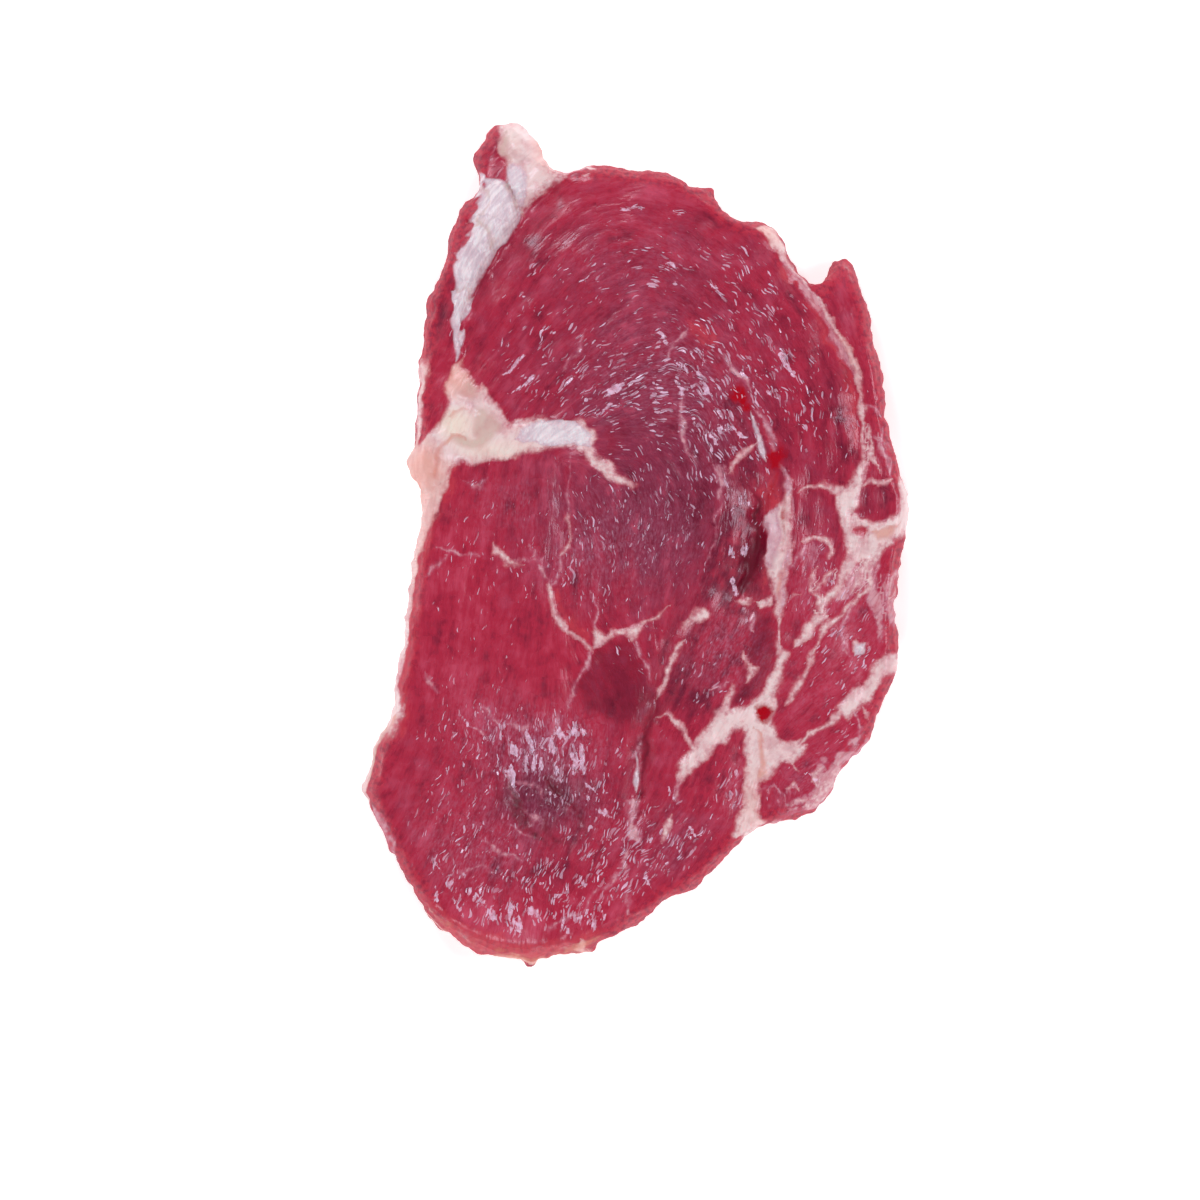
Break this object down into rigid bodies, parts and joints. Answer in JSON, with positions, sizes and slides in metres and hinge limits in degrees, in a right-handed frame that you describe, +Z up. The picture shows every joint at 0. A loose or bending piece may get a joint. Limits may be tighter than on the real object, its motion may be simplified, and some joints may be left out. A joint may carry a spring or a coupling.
{
  "type": "raw beef slice",
  "caption": "Boneless slice of raw marbled beef with a round eye muscle, fat seams, a tendon strip, a fat rim and a small tail, lying flat.",
  "frame": {"origin": "middle of the bounding box of the underside, on the surface that the slice rests on", "axes": "+Y along the slice towards its tail, +X towards the marbled side, +Z up out of the cut face that shows"},
  "size_m": [0.13, 0.2, 0.0177],
  "materials": {
    "meat": "wet raw lean with cream and lilac-white fat and tendon, stood in for by a glossy soft surface"
  },
  "bodies": {
    "root": {"beef_slice": "meat"}
  },
  "joints": []
}
